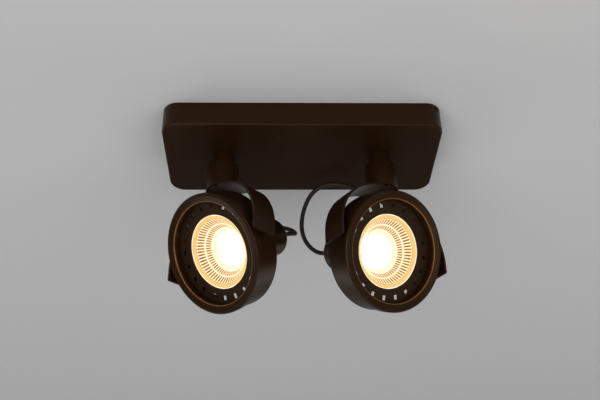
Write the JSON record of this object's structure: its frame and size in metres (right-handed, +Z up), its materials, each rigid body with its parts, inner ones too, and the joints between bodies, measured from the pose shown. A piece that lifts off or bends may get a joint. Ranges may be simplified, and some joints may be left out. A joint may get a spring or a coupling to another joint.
{
  "type": "ceiling spotlight",
  "caption": "Surface-mounted ceiling spotlight: a flat box canopy with round lamp heads that swivel on stems and tilt in C-shaped yokes.",
  "frame": {"origin": "centre of the canopy's ceiling face, midway between the two ceiling slots", "axes": "+Z up into the ceiling, X along the canopy, the pictured room at -Y and below"},
  "size_m": [0.3024, 0.1483, 0.2112],
  "materials": {
    "satin_black": "satin black paint",
    "zinc_steel": "zinc-plated steel",
    "white_plastic": "moulded",
    "brass": "plain",
    "dark_nylon": "moulded",
    "black_rubber": "matt",
    "cable_sheath": "smooth sheath",
    "faceted_reflector": "bright metallised facets",
    "dark_aluminium": "black anodised",
    "clear_glass": "clear",
    "board_white": "white lacquer",
    "phosphor": "light-emitting pad",
    "holder_ceramic": "unglazed"
  },
  "bodies": {
    "base": {"canopy_shell": "satin_black", "ceiling_plate": "zinc_steel", "canopy_screws": "satin_black", "terminal_block": "white_plastic", "terminal_screws": "brass", "earth_terminal": "brass", "left_stem_nut": "zinc_steel", "left_swivel_neck": "satin_black", "left_swivel_tube": "zinc_steel", "left_friction_washer": "dark_nylon", "left_retaining_nut": "zinc_steel", "right_stem_nut": "zinc_steel", "right_swivel_neck": "satin_black", "right_swivel_tube": "zinc_steel", "right_friction_washer": "dark_nylon", "right_retaining_nut": "zinc_steel"},
    "left_yoke": {"left_swivel_collar": "satin_black", "left_collar_plug": "zinc_steel", "left_yoke": "satin_black", "left_yoke_screw": "satin_black", "left_cable_grommet": "black_rubber", "left_cable": "cable_sheath"},
    "left_head": {"left_drum": "satin_black", "left_lamp_seat": "satin_black", "left_front_ring": "satin_black", "left_lamp_face": "dark_aluminium", "left_heat_sink": "dark_aluminium", "left_reflector": "faceted_reflector", "left_lamp_glass": "clear_glass", "left_led_board": "board_white", "left_led_emitter": "phosphor", "left_lamp_base": "white_plastic", "left_lamp_pins": "brass", "left_lampholder": "holder_ceramic", "left_lampholder_cap": "satin_black", "left_cap_grommet": "black_rubber", "left_pivot_bushes": "satin_black", "left_pivot_screws": "satin_black"},
    "right_yoke": {"right_swivel_collar": "satin_black", "right_collar_plug": "zinc_steel", "right_yoke": "satin_black", "right_yoke_screw": "satin_black", "right_cable_grommet": "black_rubber", "right_cable": "cable_sheath"},
    "right_head": {"right_drum": "satin_black", "right_lamp_seat": "satin_black", "right_front_ring": "satin_black", "right_lamp_face": "dark_aluminium", "right_heat_sink": "dark_aluminium", "right_reflector": "faceted_reflector", "right_lamp_glass": "clear_glass", "right_led_board": "board_white", "right_led_emitter": "phosphor", "right_lamp_base": "white_plastic", "right_lamp_pins": "brass", "right_lampholder": "holder_ceramic", "right_lampholder_cap": "satin_black", "right_cap_grommet": "black_rubber", "right_pivot_bushes": "satin_black", "right_pivot_screws": "satin_black"}
  },
  "joints": [
    {"name": "left_swivel", "type": "hinge", "parent": "base", "child": "left_yoke", "pos_m": [-0.0865, 0, -0.045], "axis": [0, 0, 1], "range_deg": [-21.5, 78.5]},
    {"name": "right_swivel", "type": "hinge", "parent": "base", "child": "right_yoke", "pos_m": [0.0865, 0, -0.045], "axis": [0, 0, 1], "range_deg": [-65, 35]},
    {"name": "left_tilt", "type": "hinge", "parent": "left_yoke", "child": "left_head", "pos_m": [-0.0865, 0, -0.14955], "axis": [0.6626, -0.749, 0], "range_deg": [-53.5, 26.5], "deforming": ["left_cable"]},
    {"name": "right_tilt", "type": "hinge", "parent": "right_yoke", "child": "right_head", "pos_m": [0.0865, 0, -0.14955], "axis": [0.8192, 0.5736, 0], "range_deg": [-45.5, 34.5], "deforming": ["right_cable"]}
  ]
}
